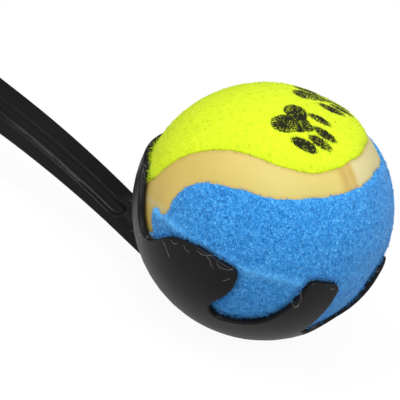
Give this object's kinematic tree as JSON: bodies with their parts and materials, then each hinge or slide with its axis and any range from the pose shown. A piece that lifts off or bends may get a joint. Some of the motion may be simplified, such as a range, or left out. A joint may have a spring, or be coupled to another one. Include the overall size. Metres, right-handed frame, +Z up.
{
  "type": "dog ball launcher",
  "caption": "Hand-held throwing arm: a fingered cup that holds a seamed felt ball, a curved grooved shaft, and a ribbed grip with a hang hole at the butt.",
  "frame": {"origin": "On the floor plane under the middle of the launcher's length, where it lies with the cup and the butt touching the floor.", "axes": "+X runs along the launcher from the handle to the cup, +Z is up, +Y completes the right-handed frame. The XZ plane is the launcher's plane of symmetry."},
  "size_m": [0.4827, 0.066, 0.0642],
  "materials": {
    "black_plastic": "black moulded plastic with a satin skin",
    "cap_plastic": "black moulded plastic with a satin skin",
    "grip_rubber": "soft black rubber with raised ribs",
    "pin_steel": "plain drawn steel",
    "core_rubber": "moulded rubber, hidden under the felt",
    "strip_rubber": "pale tan seam rubber, matte",
    "felt_yellow": "neon yellow-green needled felt with black paw prints",
    "felt_blue": "bright blue needled felt"
  },
  "bodies": {
    "launcher": {"launcher": "black_plastic", "grip_sleeve": "grip_rubber", "end_cap": "cap_plastic", "cap_pin": "pin_steel"},
    "ball": {"core_half_upper": "core_rubber", "core_half_lower": "core_rubber", "core_bond": "core_rubber", "seam_strip": "strip_rubber", "felt_yellow": "felt_yellow", "felt_blue": "felt_blue"}
  },
  "joints": [
    {"name": "ball_release", "type": "slide", "parent": "launcher", "child": "ball", "axis": [0.1736, 0, 0.9848], "range_m": [0, 0.08]}
  ]
}
